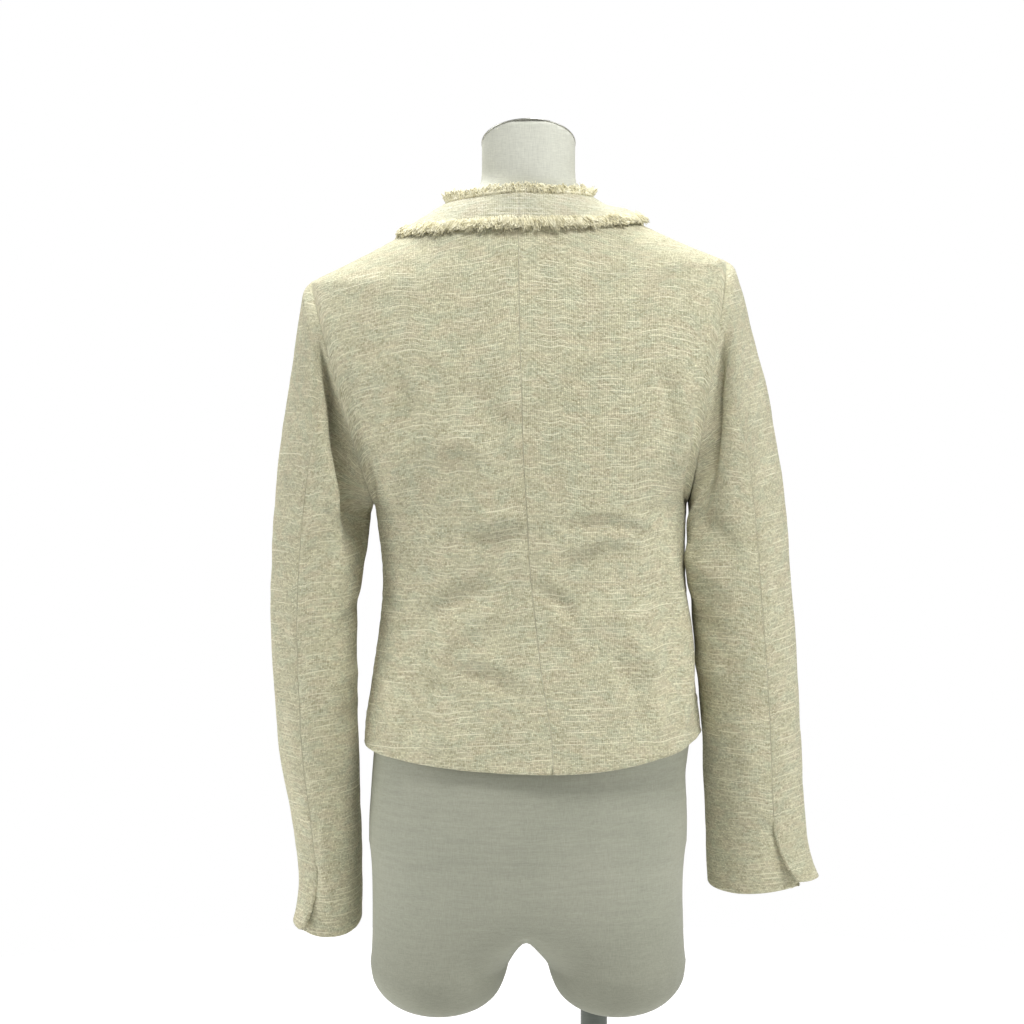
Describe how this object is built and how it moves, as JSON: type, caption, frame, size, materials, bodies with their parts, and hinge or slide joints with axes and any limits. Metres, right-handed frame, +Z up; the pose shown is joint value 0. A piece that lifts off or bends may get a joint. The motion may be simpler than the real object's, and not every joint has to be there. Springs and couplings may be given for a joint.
{
  "type": "tweed jacket with a turned-down frayed collar on a limbless dress form",
  "caption": "Short tweed jacket with a wide frayed-edge collar and long two-piece sleeves with open cuff vents, worn by a limbless dress form on an off-centre pole and a round base.",
  "frame": {"origin": "centre of the base plate's underside, on the floor", "axes": "+Z up, the jacket's front faces -Y, the wearer's left is +X"},
  "size_m": [0.5015, 0.34, 1.146],
  "materials": {
    "tweed": "oatmeal boucle tweed, uneven slub yarns, matt with a soft nap",
    "collar_tweed": "the same tweed in a lighter weft, matt",
    "fringe": "frayed loose yarn tufts, matt",
    "linen": "fine plain linen cover, stretched, matt",
    "cap": "thin satin metal neck plate",
    "steel": "satin grey steel"
  },
  "bodies": {
    "root": {"back_left": "tweed", "front_left": "tweed", "sleeve_top_left": "tweed", "sleeve_under_left": "tweed", "collar_left": "collar_tweed", "outer_fringe_left": "fringe", "neck_fringe_left": "fringe", "back_right": "tweed", "front_right": "tweed", "sleeve_top_right": "tweed", "sleeve_under_right": "tweed", "collar_right": "collar_tweed", "outer_fringe_right": "fringe", "neck_fringe_right": "fringe", "form_body": "linen", "neck_cap": "cap", "pole": "steel", "base_plate": "steel", "base_socket": "steel"}
  },
  "joints": []
}
